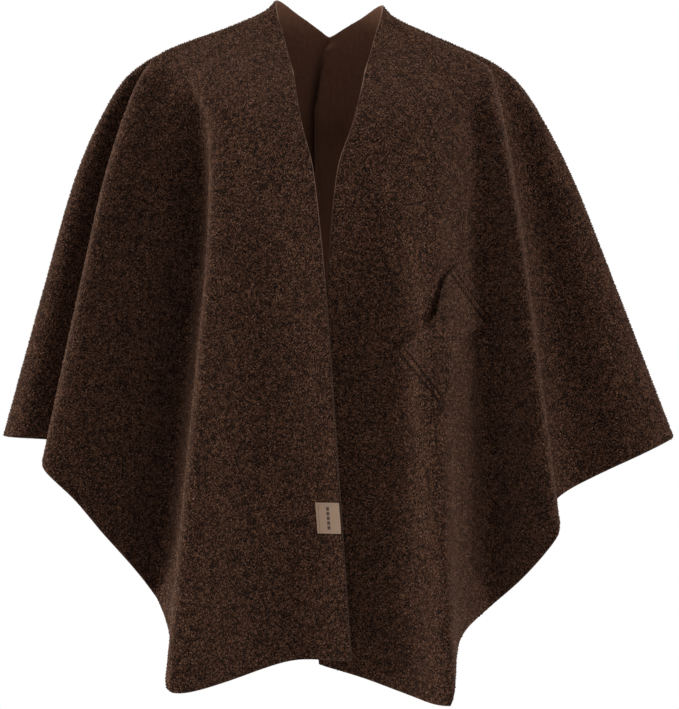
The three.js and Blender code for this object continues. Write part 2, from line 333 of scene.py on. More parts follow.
def smooth_reverse():
    """Fine smooth backing of the bonded cloth, with faint upright streaks."""
    material, tree = new_material("smooth_knit_backing")
    place = add_node(tree, "ShaderNodeTexCoord").outputs["Object"]
    wales = add_node(tree, "ShaderNodeTexWave", {
        "Vector": place, "Scale": wave_scale(WALE_SPACING), "Distortion": 1.0, "Detail": 1.0},
        wave_type="BANDS", bands_direction="X")
    upright = add_node(tree, "ShaderNodeMapping", {"Vector": place, "Scale": (1, 1, STREAK_STRETCH)})
    streaks = add_node(tree, "ShaderNodeTexNoise", {
        "Vector": upright.outputs[0], "Scale": 1 / STREAK_WIDTH, "Detail": 2.0})
    grain = add_node(
        tree, "ShaderNodeMix", {0: 0.25, 2: streaks.outputs[0], 3: wales.outputs[1]}, data_type="FLOAT")
    shade = add_node(tree, "ShaderNodeMapRange", {
        "Value": grain.outputs[0], "From Min": 0.25, "From Max": 0.75})
    tone = add_node(
        tree, "ShaderNodeValToRGB", {"Fac": shade.outputs[0]}, stops={0.0: "#604030", 1.0: "#765140"})
    relief = add_node(tree, "ShaderNodeBump", {
        "Height": wales.outputs[1], "Strength": 0.2, "Distance": WALE_RELIEF})
    finish_material(tree, {
        "Base Color": tone.outputs[0], "Roughness": 0.9, "Specular IOR Level": 0.2,
        "Normal": relief.outputs[0], **WOOL_SHEEN})
    return material


def cut_edge():
    """Raw edge of the cloth, where both layers show as felted fibre, pale only near the neck."""
    material, tree = new_material("felted_cut_edge")
    place = add_node(tree, "ShaderNodeTexCoord").outputs["Object"]
    fibres = add_node(tree, "ShaderNodeTexNoise", {"Vector": place, "Scale": 1 / EDGE_FIBRE, "Detail": 3.0})
    shade = add_node(tree, "ShaderNodeMapRange", {
        "Value": fibres.outputs[0], "From Min": 0.3, "From Max": 0.7})
    tone = add_node(
        tree, "ShaderNodeValToRGB", {"Fac": shade.outputs[0]}, stops={0.0: "#4a342a", 1.0: "#7d6353"})
    height = add_node(tree, "ShaderNodeSeparateXYZ", {0: place})
    pale = add_node(tree, "ShaderNodeMapRange", {
        "Value": height.outputs["Z"], "From Min": PALE_EDGE_ENDS, "From Max": PALE_EDGE_STARTS,
        "To Min": 0.3, "To Max": 1.0})
    colour = add_node(
        tree, "ShaderNodeVectorMath", {0: tone.outputs[0], "Scale": pale.outputs[0]}, operation="SCALE")
    relief = add_node(tree, "ShaderNodeBump", {
        "Height": fibres.outputs[0], "Strength": 0.6, "Distance": EDGE_RELIEF})
    finish_material(tree, {
        "Base Color": colour.outputs[0], "Roughness": 0.95, "Specular IOR Level": 0.2,
        "Normal": relief.outputs[0], **WOOL_SHEEN})
    return material


REVERSE = smooth_reverse()
EDGE = cut_edge()
print("inside and edge finishes:", REVERSE.name, EDGE.name)

# %% [markdown]
# The label is a folded piece of beige satin tape with fine cross ribs, which catch a soft light. Dull brown
# sewing thread holds the band, drawn near black: partly its own colour and partly painted shade of the
# grooves it lies in. Its twist only breaks the colour up a little, so it has no relief.

# %% Tape and thread
TAPE_RIB = 0.7 * MM
RIB_RELIEF = 0.1 * MM
THREAD_TWIST = 0.6 * MM


def woven_tape(name, dark, light):
    """Woven tape with fine ribs across it."""
    material, tree = new_material(name)
    place = add_node(tree, "ShaderNodeTexCoord").outputs["Object"]
    ribs = add_node(tree, "ShaderNodeTexWave", {
        "Vector": place, "Scale": wave_scale(TAPE_RIB), "Distortion": 0.4, "Detail": 0.0},
        wave_type="BANDS", bands_direction="Z")
    tone = add_node(tree, "ShaderNodeValToRGB", {"Fac": ribs.outputs[1]}, stops={0.0: dark, 1.0: light})
    relief = add_node(tree, "ShaderNodeBump", {
        "Height": ribs.outputs[1], "Strength": 0.3, "Distance": RIB_RELIEF})
    finish_material(tree, {
        "Base Color": tone.outputs[0], "Roughness": 0.65, "Specular IOR Level": 0.35,
        "Sheen Weight": 0.1, "Normal": relief.outputs[0]})
    return material


def sewing_thread():
    """Twisted brown thread, near black: partly its own colour and partly painted shade of its grooves."""
    material, tree = new_material("brown_sewing_thread")
    place = add_node(tree, "ShaderNodeTexCoord").outputs["Object"]
    twist = add_node(tree, "ShaderNodeTexNoise", {"Vector": place, "Scale": 1 / THREAD_TWIST})
    # Near black: the thread's own brown, darkened as painted shade of the groove.
    tone = add_node(
        tree, "ShaderNodeValToRGB", {"Fac": twist.outputs[0]}, stops={0.3: "#150b07", 0.7: "#2a1a12"})
    finish_material(tree, {"Base Color": tone.outputs[0], "Roughness": 0.95, "Specular IOR Level": 0.1})
    return material


TAPE = woven_tape("beige_tape", "#856c58", "#a28670")
MARK = woven_tape("brown_tape_marks", "#3a291f", "#49352a")
THREAD = sewing_thread()
print("tape and thread:", TAPE.name, MARK.name, THREAD.name)

# %% [markdown]
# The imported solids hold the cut, the drape and the big folds, in flat facets that don't say which side they
# are on. A ray into the wall tells a face of the cut edge: no other wall lies close behind it. What is left
# falls apart into the outside and the inside. A patch of edge with only one side round it is a sharp fold,
# and goes to that side.

# %% Outside, inside and cut edge
RAY_START = 0.3
DEEPER_THAN_WALL = 1.6
WALLS_AGREE = -0.55
OUTSIDE, INSIDE, CUT = 0, 1, 2


def is_rim(face, tree, thickness):
    """Tells a face of the cut edge: straight in from it, no wall lies close by and faces the other way."""
    start = face.calc_center_median() - face.normal * thickness * RAY_START
    _, normal, _, distance = tree.ray_cast(start, -face.normal)
    if distance is None or distance > thickness * DEEPER_THAN_WALL:
        return True
    return normal.dot(face.normal) > WALLS_AGREE


def patches_of(faces):
    """Groups the faces that hang together by their edges."""
    waiting = set(faces)
    patches = []
    while waiting:
        patch = [waiting.pop()]
        for face in patch:
            for edge in face.edges:
                for near in edge.link_faces:
                    if near in waiting:
                        waiting.remove(near)
                        patch.append(near)
        patches.append(patch)
    return patches


def area_of(faces):
    """The area of some faces, in square metres."""
    return sum(face.calc_area() for face in faces)


def sides_of_cloth(shell, outward, thickness):
    """Sorts the shell's faces into outside, inside and cut edge."""
    shell.normal_update()
    tree = BVHTree.FromBMesh(shell)
    rim = {face for face in shell.faces if is_rim(face, tree, thickness)}
    sides = patches_of(set(shell.faces) - rim)
    sides.sort(key=area_of, reverse=True)
    facing = [sum(face.calc_area() * face.normal.dot(outward) for face in side) for side in sides[:2]]
    order = {0: OUTSIDE, 1: INSIDE} if facing[0] > facing[1] else {0: INSIDE, 1: OUTSIDE}
    for face in rim:
        face.material_index = CUT
    for number, side in enumerate(sides):
        for face in side:
            face.material_index = order.get(number, CUT)
    for patch in patches_of(face for face in shell.faces if face.material_index == CUT):
        edges = {edge for face in patch for edge in face.edges}
        near_sides = {near.material_index for edge in edges for near in edge.link_faces} - {CUT}
        if len(near_sides) == 1:
            for face in patch:
                face.material_index = min(near_sides)
    print("sides in square metres:", [round(area_of(side), 4) for side in sides[:2]])


print("finish numbers: outside", OUTSIDE, "inside", INSIDE, "cut edge", CUT)

# %% [markdown]
# A copy of each solid is welded, its triangles are joined into squares again, and a subdivision surface
# rounds it. Modelled anew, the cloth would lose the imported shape. The thin faces along the rim are creased
# first, so the cloth keeps its thickness and its sharp corners there.

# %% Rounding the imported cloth
WELD_DISTANCE = 0.02 * MM
SQUARE_BEND = math.radians(50)
RIM_CREASE = 0.85
CORNER_OF_HEM = math.radians(55)
ROUNDING = 2
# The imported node, the way its outside faces, and its thickness in mm
PANELS = {
    "right_half": ("right_panel", (0, 0, 1), 3.2),
    "left_half": ("left_panel", (0, 0, 1), 3.2),
    "tuck": ("tuck_band", (0, -1, 0), 2.4),
}


def applied(thing):
    """Swaps the object's mesh for what its modifiers make of it."""
    whole = bpy.context.evaluated_depsgraph_get()
    thing.data = bpy.data.meshes.new_from_object(thing.evaluated_get(whole))
    thing.data.name = thing.name
    thing.modifiers.clear()


def crease_rim(shell):
    """Marks the edges between a side and the cut edge as sharp, and the corners of the hem."""
    crease = shell.edges.layers.float.new("crease_edge")
    for edge in shell.edges:
        cut_faces = [face.material_index == CUT for face in edge.link_faces]
        if any(cut_faces) and (not all(cut_faces) or edge.calc_face_angle(0) > CORNER_OF_HEM):
            edge[crease] = RIM_CREASE


def rounded_cloth(name, node, outward, thickness):
    """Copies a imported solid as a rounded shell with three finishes."""
    shell = bmesh.new()
    shell.from_mesh(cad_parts[node].data)
    bmesh.ops.remove_doubles(shell, verts=shell.verts, dist=WELD_DISTANCE)
    sides_of_cloth(shell, Vector(outward), thickness * MM)
    bmesh.ops.join_triangles(
        shell, faces=shell.faces, cmp_materials=True,
        angle_face_threshold=SQUARE_BEND, angle_shape_threshold=math.pi)
    crease_rim(shell)
    for face in shell.faces:
        face.smooth = True
    cloth = built(name, shell)
    rounding = cloth.modifiers.new("rounding", "SUBSURF")
    rounding.levels = ROUNDING
    rounding.render_levels = ROUNDING
    applied(cloth)
    for finish in (GROUND, REVERSE, GROUND if node == "tuck_band" else EDGE):
        cloth.data.materials.append(finish)
    print(name, len(cloth.data.polygons), "faces")
    return cloth


cloths = {name: rounded_cloth(name, *about) for name, about in PANELS.items()}

# %% [markdown]
# On the big folds lie smaller ones. The cloth is thick and soft, so they are shallow, wide and uneven: each
# long fold has a fuller crest, a crease runs off each side of the neck, the band puckers the cloth at both
# ends, and the hem waves a little. One fold at the centre back rolls over towards -X and shows through the
# neck. Each is placed as a line in the front or back view, with its own depth and width.

# %% The lines of the small creases
# The rolled fold: points of its line (x, z), how far it rolls over and its half width, in mm
BACK_FOLD = [(3, -2), (1, -24), (-2, -70), (-3, -240), (0, -400)]
FOLD_ROLL = 13
FOLD_WIDTH = 7
# Face, points of the line (x, z) in mm, depth in mm (a ridge has a negative one), half width in mm
CREASES = [
    ("front", [(122, -120), (128, -190), (116, -306), (106, -422), (120, -538), (129, -640)], -8.0, 14),
    ("front", [(190, -78), (202, -108), (218, -190), (235, -306), (245, -430)], -5.0, 12),
    ("front", [(-236, -100), (-262, -190), (-286, -306), (-310, -430)], -3.0, 11),
    ("front", [(-130, -170), (-138, -306), (-146, -422), (-161, -538), (-177, -650)], -3.5, 12),
    ("front", [(148, -58), (173, -110), (184, -180)], 4.5, 15),
    ("front", [(184, -440), (190, -540), (200, -640)], 8.0, 14),
    ("front", [(60, -260), (60, -340), (52, -430)], 4.0, 24),
    ("front", [(-4, -500), (-10, -600), (-14, -715)], 4.0, 26),
    ("back", [(-6, 20), (-11, -60), (-12, -240), (-6, -420)], -7.0, 26),
    ("back", [(-8, 2), (-11, -24), (-14, -70), (-15, -240), (-12, -400)], -15.0, 7),
    ("back", BACK_FOLD, 8.0, 7),
    ("back", [(34, 0), (26, -80), (18, -240), (10, -380)], 7.0, 18),
    ("front", [(82, 16), (108, -14), (132, -48), (146, -100)], 5.0, 13),
    ("front", [(70, 30), (92, -4), (104, -60)], 2.2, 9),
    ("front", [(-58, 30), (-74, 0), (-84, -52)], 2.0, 9),
    ("front", [(-96, 8), (-128, -32), (-150, -92)], 3.0, 14),
    ("front", [(-176, -24), (-205, -72), (-222, -150)], 2.6, 11),
    ("front", [(-60, -120), (-92, -176), (-104, -250)], -1.6, 16),
    ("front", [(70, -130), (98, -190), (112, -262)], -1.6, 15),
    ("front", [(80, -372), (52, -386), (34, -396)], 2.2, 8),
    ("front", [(97, -398), (74, -418), (60, -442)], 2.0, 7),
    ("front", [(118, -428), (108, -462), (104, -498)], 2.4, 8),
    ("front", [(150, -266), (150, -236), (142, -206)], 2.0, 8),
    ("front", [(172, -294), (196, -276), (214, -248)], 2.2, 8),
    ("front", [(190, -322), (214, -318), (236, -300)], 1.8, 8),
    ("front", [(-34, -702), (-38, -660), (-50, -606)], 2.8, 15),
    ("front", [(-86, -722), (-92, -676), (-90, -632)], 2.2, 12),
    ("front", [(40, -730), (44, -690), (38, -640)], 2.6, 14),
    ("front", [(92, -745), (96, -704), (104, -660)], 2.2, 12),
    ("front", [(-250, -590), (-252, -560), (-246, -520)], 2.4, 11),
    ("front", [(232, -600), (236, -566), (238, -528)], 2.4, 11),
    ("front", [(330, -500), (322, -456), (312, -400)], 2.4, 13),
    ("back", [(-70, 18), (-96, -22), (-112, -84)], 3.2, 13),
    ("back", [(66, 22), (94, -16), (120, -78)], 3.6, 14),
    ("back", [(-158, -30), (-186, -88), (-196, -160)], 2.4, 12),
    ("back", [(160, -36), (182, -90), (204, -166)], 2.2, 12),
    ("back", [(-44, -660), (-46, -610), (-40, -548)], 2.6, 15),
    ("back", [(48, -668), (54, -616), (62, -566)], 2.4, 14),
    ("back", [(-112, -664), (-108, -624), (-114, -580)], 2.0, 11),
    ("back", [(112, -672), (108, -628), (100, -584)], 2.2, 12),
    ("back", [(-230, -580), (-226, -540), (-232, -494)], 2.2, 12),
    ("back", [(240, -572), (232, -530), (236, -486)], 2.0, 11),
]
print(len(CREASES), "small creases")

# %% [markdown]
# The whole cloth moves together, both its faces by the same amount, so its thickness stays. A crease is
# soft across and fades at both ends of its line. Under all of them lies a slow sway, and the hem has a wave
# of its own.

# %% Laying the creases
# The strength of a crease along its line follows this part of half a sine wave
WAVE_PART_STARTS, WAVE_PART_LENGTH = 0.12, 0.8
END_STRENGTH = 0.35
UNEVENNESS = 0.25
UNEVEN_PACE = 9
# The slow sway in mm, and its waves: how much of x and of z each takes, and where it starts
SWAY_SIZE = 46
SWAY_DEPTH = 1.3
SWAY_WAVES = [(0.9, 0.175, 1.1), (-0.5, 0.5, 2.3), (0.2, -0.4, 4.1), (1.3, 0.3, 0.4)]
FRONT_START, BACK_START = 0.0, 2.6
HEM_WAVE_DEPTH = 1.6
HEM_WAVE_SIZE, HEM_WAVE_DRIFT, HEM_WAVE_BEND = 27, 61, 1.7
HEM_WAVE_TOP, HEM_WAVE_FULL = -480, -700
TURN_OF_SHOULDER = 14  # the front's creases fade into the back's over this distance, in mm


def faded(value, start, end):
    """0 at the start, 1 at the end and soft between them."""
    share = np.clip((value - start) / (end - start), 0, 1)
    return share * share * (3 - 2 * share)


def trough(x, z, line, depth, width):
    """How deep a crease is at each place in a view, soft across and fading at both ends."""
    depths = np.zeros(len(x))
    steps = len(line) - 1
    for number in range(steps):
        (ax, az), (bx, bz) = line[number], line[number + 1]
        along = ((x - ax) * (bx - ax) + (z - az) * (bz - az)) / ((bx - ax) ** 2 + (bz - az) ** 2)
        share = np.clip(along, 0, 1)
        off = np.hypot(x - ax - share * (bx - ax), z - az - share * (bz - az))
        whole = (number + share) / steps
        wave_part = np.clip(WAVE_PART_STARTS + WAVE_PART_LENGTH * whole, 0, 1)
        strength = END_STRENGTH + (1 - END_STRENGTH) * np.sin(np.pi * wave_part)
        uneven = 1 + UNEVENNESS * np.sin(whole * UNEVEN_PACE + line[0][0])
        depths = np.maximum(depths, strength * uneven * np.exp(-((off / width) ** 2)))
    return depth * depths


def sway(x, z, start):
    """Slow unevenness of the hanging cloth, more of it near the hem."""
    waves = [np.sin((x * a + z * b) / SWAY_SIZE * math.pi + c + start) for a, b, c in SWAY_WAVES]
    hem = np.sin(x / HEM_WAVE_SIZE + HEM_WAVE_BEND * np.sin(x / HEM_WAVE_DRIFT + start))
    hem = hem * faded(z, HEM_WAVE_TOP, HEM_WAVE_FULL)
    return SWAY_DEPTH * sum(waves) / len(waves) + HEM_WAVE_DEPTH * hem


def crease_depth(places):
    """How far each place moves along Y, in metres: in from the front, and in from the back."""
    x, y, z = (places / MM).T
    back = faded(y, -TURN_OF_SHOULDER, TURN_OF_SHOULDER)
    depths = {"front": sway(x, z, FRONT_START), "back": sway(x, z, BACK_START)}
    for face, line, depth, width in CREASES:
        depths[face] = depths[face] + trough(x, z, line, depth, width)
    return (depths["front"] * (1 - back) - depths["back"] * back) * MM


def fold_roll(places):
    """How far each place moves along X with the rolled fold of the back, in metres."""
    x, y, z = (places / MM).T
    roll = FOLD_ROLL * trough(x, z, BACK_FOLD, 1.0, FOLD_WIDTH)
    return -roll * faded(y, 0, 2 * TURN_OF_SHOULDER) * MM


def mesh_places(mesh):
    """The places of a mesh's vertices, one row each."""
    places = np.empty(len(mesh.vertices) * 3)
    mesh.vertices.foreach_get("co", places)
    return places.reshape(-1, 3)


def move_mesh(mesh, places):
    """Puts the vertices of a mesh at new places."""
    mesh.vertices.foreach_set("co", places.ravel())
    mesh.update()


for cloth in cloths.values():
    places = mesh_places(cloth.data)
    depth = crease_depth(places)
    places[:, 0] += fold_roll(places)
    places[:, 1] += depth
    move_mesh(cloth.data, places)
    print(cloth.name, "creased by", round(depth.min() / MM, 1), "to", round(depth.max() / MM, 1), "mm")

# %% [markdown]
# The halves are joined by a seam down the middle of the back. Its two layers pull the cloth in, so it shows
# as a shallow groove outside and inside. The solids stop a little short of each other there, and the right
# half's rim is drawn over to the left half's, so that no light passes. A modelled seam allowance would be
# hidden in the wall.

# %% The seam down the back
SEAM_REACH = 7 * MM
SEAM_STRIP = 3 * SEAM_REACH
SEAM_DEPTH = 1.1 * MM
SEAM_CLOSE = 1.4 * MM
SEAM_OVERLAP = 0.8 * MM
BACK_STARTS = 30 * MM


def bvh_of(thing):
    """A search tree on the object's mesh."""
    return BVHTree.FromObject(thing, bpy.context.evaluated_depsgraph_get())


def back_points(cloth):
    """The cloth's points near the middle of the back."""
    return [
        vertex for vertex in cloth.data.vertices
        if vertex.co.y >= BACK_STARTS and abs(vertex.co.x) <= SEAM_STRIP]


def sew(cloth, other):
    """Sinks the cloth next to the other half, on both its sides."""
    tree = bvh_of(other)
    for vertex in back_points(cloth):
        distance = tree.find_nearest(vertex.co)[3]
        if distance < SEAM_REACH:
            vertex.co.y -= vertex.normal.y * SEAM_DEPTH * (1 - distance / SEAM_REACH) ** 2


def close_gap(cloth, other):
    """Draws the rim of the cloth over to the other half."""
    tree = bvh_of(other)
    moved = 0
    for vertex in back_points(cloth):
        nearest, _, _, distance = tree.find_nearest(vertex.co)
        if distance < SEAM_CLOSE:
            vertex.co = nearest + (nearest - vertex.co).normalized() * SEAM_OVERLAP
            moved += 1
    print("rim points drawn over:", moved)


def hide_rim(cloth, other):
    """Gives the rim inside the seam the finish of the smooth side."""
    tree = bvh_of(other)
    for face in cloth.data.polygons:
        if face.material_index == CUT and face.center.y > BACK_STARTS:
            if tree.find_nearest(face.center)[3] < SEAM_CLOSE:
                face.material_index = INSIDE


sew(cloths["right_half"], cloths["left_half"])
sew(cloths["left_half"], cloths["right_half"])
close_gap(cloths["right_half"], cloths["left_half"])
hide_rim(cloths["right_half"], cloths["left_half"])
hide_rim(cloths["left_half"], cloths["right_half"])
for cloth in cloths.values():
    cloth.data.update()

# %% [markdown]
# The band is a strip of the same cloth, turned 55.5 degrees from level, with ends that slant across it. A
# double row of stitches holds each end, and pulls into it as narrow grooves. Along the band's long edges
# the cloth below is drawn in, so its mouth shows as a dark line. All of these are lines pressed into the
# cloth, like the creases.

# %% Grooves of the stitches and the band's mouth
BAND_CENTRE = (134, -346)
BAND_TILT = math.radians(55.5)
GROOVE_DEPTH = 1.9
GROOVE_WIDTH = 2.4
# The first two follow the mouth, where a front is pushed under:
# points of the line (x, z) in mm, depth in mm, half width in mm
DRAWN_IN = [
    ([(138, -264), (128, -284), (125, -300), (121, -318), (113, -334), (99, -344), (84, -354), (73, -363)],
     6.0, 3.4),
    ([(123, -312), (119, -324), (112, -334), (99, -344), (84, -354)], 8.0, 3.8),
    ([(154, -357), (167, -348), (182, -337), (193, -325)], 4.0, 4.0),
]
# The two ends of each row, along and across the band, in mm
BAND_ROWS = [
    [(-47, 31), (-67, -33)],
    [(-40, 29), (-60, -31)],
    [(67, 33), (47, -31)],
    [(60, 31), (40, -29)],
]


def on_front(along, across):
    """Turns a place on the band into x and z in the front view, in mm."""
    x = BAND_CENTRE[0] + along * math.cos(BAND_TILT) - across * math.sin(BAND_TILT)
    z = BAND_CENTRE[1] + along * math.sin(BAND_TILT) + across * math.cos(BAND_TILT)
    return x, z


def press_in(cloth, lines, pressed):
    """Presses lines into the points of a cloth that are picked."""
    places = mesh_places(cloth.data)
    for line, depth, width in lines:
        groove = trough(places[:, 0] / MM, places[:, 2] / MM, line, depth, width)
        places[:, 1] += groove * pressed * MM
    move_mesh(cloth.data, places)


STITCH_ROWS = [[on_front(*end) for end in row] for row in BAND_ROWS]
band, left_half = cloths["tuck"], cloths["left_half"]
outer_points = np.array([vertex.normal.y < 0 for vertex in band.data.vertices])
press_in(band, [(row, GROOVE_DEPTH, GROOVE_WIDTH) for row in STITCH_ROWS], outer_points)
press_in(left_half, DRAWN_IN, mesh_places(left_half.data)[:, 1] < 0)
print(len(STITCH_ROWS), "grooves on the band and", len(DRAWN_IN), "lines along its edges")

# %% [markdown]
# The thread lies at the bottom of the grooves. Each stitch is one grain of it, pointed at both ends: a
# sphere of four sides and two rings, stretched along the row. It is drawn longer and wider than real
# thread, so that the rows show from afar.

# %% Stitches on the band
STITCH_LENGTH = 7.0
STITCH_STEP = 4.2
STITCH_WIDTH = 2.6
THREAD_LIFT = 0.2
THREAD_TOP, THREAD_BOTTOM = 0.5, 0.4


def met_from_front(tree, x, z):
    """The place and the normal where a ray from the front, at x and z in mm, first meets a surface."""
    spot, normal, _, _ = tree.ray_cast(Vector((x * MM, -1, z * MM)), Vector((0, 1, 0)))
    return spot, normal


def add_stitch(shell, spot, normal, way):
    """Adds one grain of thread, pointed at both ends, that lies on the cloth."""
    along = (way - normal * way.dot(normal)).normalized()
    across = normal.cross(along)
    for corner in bmesh.ops.create_uvsphere(shell, u_segments=4, v_segments=2, radius=1)["verts"]:
        x, y, z = corner.co
        height = THREAD_LIFT + z * (THREAD_TOP if z > 0 else THREAD_BOTTOM)
        reach = along * x * STITCH_LENGTH / 2 + across * y * STITCH_WIDTH / 2 + normal * height
        corner.co = spot + reach * MM


def sew_rows(cloth, name):
    """Lays stitches along the rows, on the cloth."""
    tree = bvh_of(cloth)
    stitches = bmesh.new()
    for (ax, az), (bx, bz) in STITCH_ROWS:
        count = int(math.hypot(bx - ax, bz - az) // STITCH_STEP)
        for share in np.linspace(0, 1, count + 1):
            spot, normal = met_from_front(tree, ax + (bx - ax) * share, az + (bz - az) * share)
            add_stitch(stitches, spot, normal, Vector((bx - ax, 0, bz - az)))
    for face in stitches.faces:
        face.smooth = True
    return built(name, stitches, THREAD)


stitching = sew_rows(band, "band_stitching")
print(stitching.name, len(stitching.data.polygons), "faces")

# %% [markdown]
# The label is a short tape, folded at its edges and sewn on along the right front edge, with a plain dashed
# line woven down its middle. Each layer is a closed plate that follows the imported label's outer face: a
# grid is laid on that face, point by point, and extruded inwards.

# %% The label
LABEL_WIDTH = 28
LABEL_MARGIN = 0.6
LABEL_LIFT, LABEL_THICKNESS = 0.35, 0.6
FOLD_LIFT, FOLD_THICKNESS = 0.8, 0.5
DASH_LIFT, DASH_THICKNESS = 0.5, 0.2
PLATE_COLUMNS, PLATE_ROWS = 5, 6
# Shares of the label's width or height
WHOLE_WIDTH, WHOLE_HEIGHT = (0, 1), (0.01, 0.99)
SIDE_FOLD, BOTTOM_FOLD, TOP_FOLD = (0, 0.1), (0.01, 0.07), (0.93, 0.99)
DASH_COLUMN = (0.44, 0.56)
DASH_COUNT, DASH_START, DASH_STEP, DASH_LENGTH = 5, 0.14, 0.15, 0.11
ON_TAPE, ON_MARK = 0, 1


def make_label(name):
    """Tape, its folded edges and a dashed line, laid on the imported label's outer face."""
    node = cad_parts["label"]
    tree = bvh_of(node)
    corners = [node.matrix_world @ vertex.co / MM for vertex in node.data.vertices]
    x_low, x_high = min(c.x for c in corners), max(c.x for c in corners)
    z_low, z_high = min(c.z for c in corners), max(c.z for c in corners)
    slant = (x_high - x_low - LABEL_WIDTH) / (z_high - z_low)
    shell = bmesh.new()

    def on_label(x_share, z_share, lift):
        """A place above the label, at shares of its width and height."""
        up = (z_high - z_low) * z_share
        left = x_high - LABEL_WIDTH + LABEL_MARGIN - slant * up
        x = left + (LABEL_WIDTH - 2 * LABEL_MARGIN) * x_share
        spot, normal = met_from_front(tree, x, z_low + up)
        return spot + normal * lift * MM

    def plate(x_shares, z_shares, lift, thickness, finish):
        """One closed plate between shares of the label's width and height."""
        grid = bmesh.ops.create_grid(
            shell, x_segments=PLATE_COLUMNS, y_segments=PLATE_ROWS, size=1)["verts"]
        for vertex in grid:
            x_share = np.interp(vertex.co.x, (-1, 1), x_shares)
            z_share = np.interp(vertex.co.y, (-1, 1), z_shares)
            vertex.co = on_label(x_share, z_share, lift)
        start, right, top = grid[0].co, grid[PLATE_COLUMNS].co, grid[-PLATE_COLUMNS - 1].co
        inwards = (top - start).cross(right - start).normalized()
        faces = list({face for vertex in grid for face in vertex.link_faces})
        back = bmesh.ops.extrude_face_region(shell, geom=faces)["geom"]
        back = [part for part in back if isinstance(part, bmesh.types.BMVert)]
        bmesh.ops.translate(shell, verts=back, vec=inwards * thickness * MM)
        for vertex in grid + back:
            for face in vertex.link_faces:
                face.material_index = finish

    plate(WHOLE_WIDTH, WHOLE_HEIGHT, LABEL_LIFT, LABEL_THICKNESS, ON_TAPE)
    plate(SIDE_FOLD, WHOLE_HEIGHT, FOLD_LIFT, FOLD_THICKNESS, ON_TAPE)
    plate(WHOLE_WIDTH, BOTTOM_FOLD, FOLD_LIFT, FOLD_THICKNESS, ON_TAPE)
    plate(WHOLE_WIDTH, TOP_FOLD, FOLD_LIFT, FOLD_THICKNESS, ON_TAPE)
    for number in range(DASH_COUNT):
        low = DASH_START + number * DASH_STEP
        plate(DASH_COLUMN, (low, low + DASH_LENGTH), DASH_LIFT, DASH_THICKNESS, ON_MARK)
    bmesh.ops.recalc_face_normals(shell, faces=shell.faces)
    label = built(name, shell, TAPE, MARK)
    places = mesh_places(label.data)
    places[:, 1] += crease_depth(places)
    move_mesh(label.data, places)
    return label


label_tape = make_label("label_tape")
print("label faces:", len(label_tape.data.polygons))

# %% [markdown]
# The curls are one small closed tuft with three flanks, placed many thousands of times. A scatter that
# keeps its points apart sets them on the outside of the cloth, each turned and sized at random with a fixed
# seed. A particle system would do the same, but Geometry Nodes also work without the editor.

# %% One curl and its scatter
CURL_SPACING = 2.45 * MM
MOST_CURLS = 3 / CURL_SPACING**2  # tried on a square metre, before the spacing thins them
CURL_SEED = 7
LEAST_CURL, LARGEST_CURL = (0.7, 0.75, 0.7), (1.3, 1.2, 1.25)
CURL_LENGTH, CURL_WIDTH, CURL_RISE, CURL_SUNK = 3.5, 2.1, 1.2, 0.3
CURL_CORNERS = np.array([
    (-CURL_LENGTH / 2, -CURL_WIDTH / 3, -CURL_SUNK), (CURL_LENGTH / 2, -CURL_WIDTH / 3, -CURL_SUNK),
    (0, CURL_WIDTH * 2 / 3, -CURL_SUNK), (0, 0, CURL_RISE)])
CURL_FACES = [(0, 1, 3), (1, 2, 3), (2, 0, 3), (0, 2, 1)]
UNDERSIDE = 3


def scatter_tree(curl):
    """Geometry nodes that scatter the curl over the faces marked as pile."""
    tree = bpy.data.node_groups.new("curl_scatter", "GeometryNodeTree")
    tree.interface.new_socket("Geometry", in_out="INPUT", socket_type="NodeSocketGeometry")
    tree.interface.new_socket("Geometry", in_out="OUTPUT", socket_type="NodeSocketGeometry")
    cloth = add_node(tree, "NodeGroupInput")
    piled = add_node(tree, "GeometryNodeInputNamedAttribute", {"Name": "piled"}, data_type="FLOAT")
    spots = add_node(tree, "GeometryNodeDistributePointsOnFaces", {
        "Mesh": cloth.outputs[0], "Distance Min": CURL_SPACING, "Density Max": MOST_CURLS,
        "Density Factor": piled.outputs["Attribute"], "Seed": CURL_SEED}, distribute_method="POISSON")
    turn = add_node(
        tree, "FunctionNodeRandomValue", {2: 0.0, 3: math.tau, "Seed": CURL_SEED}, data_type="FLOAT")
    about_normal = add_node(tree, "ShaderNodeCombineXYZ", {"Z": turn.outputs[1]})
    turned = add_node(tree, "FunctionNodeEulerToRotation", {"Euler": about_normal.outputs[0]})
    rotation = add_node(tree, "FunctionNodeRotateRotation", {
        "Rotation": spots.outputs["Rotation"], "Rotate By": turned.outputs[0]}, rotation_space="LOCAL")
    size = add_node(tree, "FunctionNodeRandomValue", {
        0: LEAST_CURL, 1: LARGEST_CURL, "Seed": CURL_SEED + 1}, data_type="FLOAT_VECTOR")
    shape = add_node(tree, "GeometryNodeObjectInfo", {"Object": curl})
    placed = add_node(tree, "GeometryNodeInstanceOnPoints", {
        "Points": spots.outputs["Points"], "Instance": shape.outputs["Geometry"],
        "Rotation": rotation.outputs[0], "Scale": size.outputs[0]})
    real = add_node(tree, "GeometryNodeRealizeInstances", {"Geometry": placed.outputs[0]})
    add_node(tree, "NodeGroupOutput", {"Geometry": real.outputs[0]})
    return tree


print("a curl in mm:", CURL_LENGTH, "long and", CURL_WIDTH, "wide")

# %% [markdown]
# The pile covers the outside only. It stops under the label, and along the stitches and the band's mouth,
# where it would hide the thread and the dark line.

# %% Where the pile grows
# Half widths in mm of the strips without curls
BARE_AT_MOUTH, BARE_AT_STITCHES = 3.4, 3.0
BARE_LINES = {
    "left_half": [(line, BARE_AT_MOUTH) for line, _, _ in DRAWN_IN],
    "tuck": [(row, BARE_AT_STITCHES) for row in STITCH_ROWS],
}
LEAST_NEARNESS = 0.35


